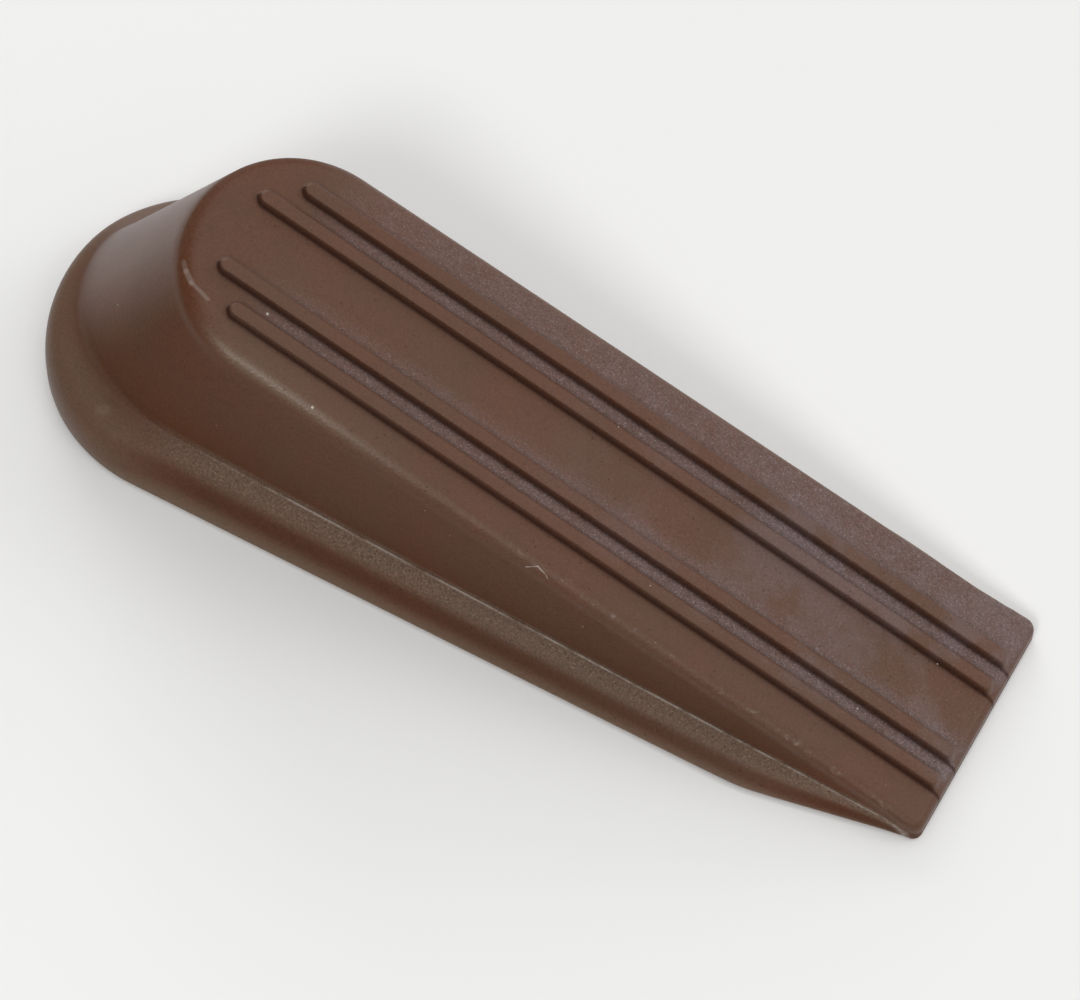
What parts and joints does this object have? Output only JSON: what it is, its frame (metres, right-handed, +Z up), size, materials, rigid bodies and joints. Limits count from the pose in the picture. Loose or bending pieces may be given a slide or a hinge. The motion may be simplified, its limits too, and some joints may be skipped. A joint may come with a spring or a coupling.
{
  "type": "wedge door stop",
  "caption": "Moulded brown rubber door stop: a ramp with raised grip ribs, a rounded heel and a flange round its flat base, pushed under a door to hold it open.",
  "frame": {"origin": "centre of the footprint, on the floor", "axes": "+X along the length towards the thin tip, +Y across the width, +Z up from the floor"},
  "size_m": [0.12, 0.0394, 0.0334],
  "materials": {
    "brown_rubber": "satin moulded rubber with a fine grain"
  },
  "bodies": {
    "root": {"wedge_body": "brown_rubber"}
  },
  "joints": []
}
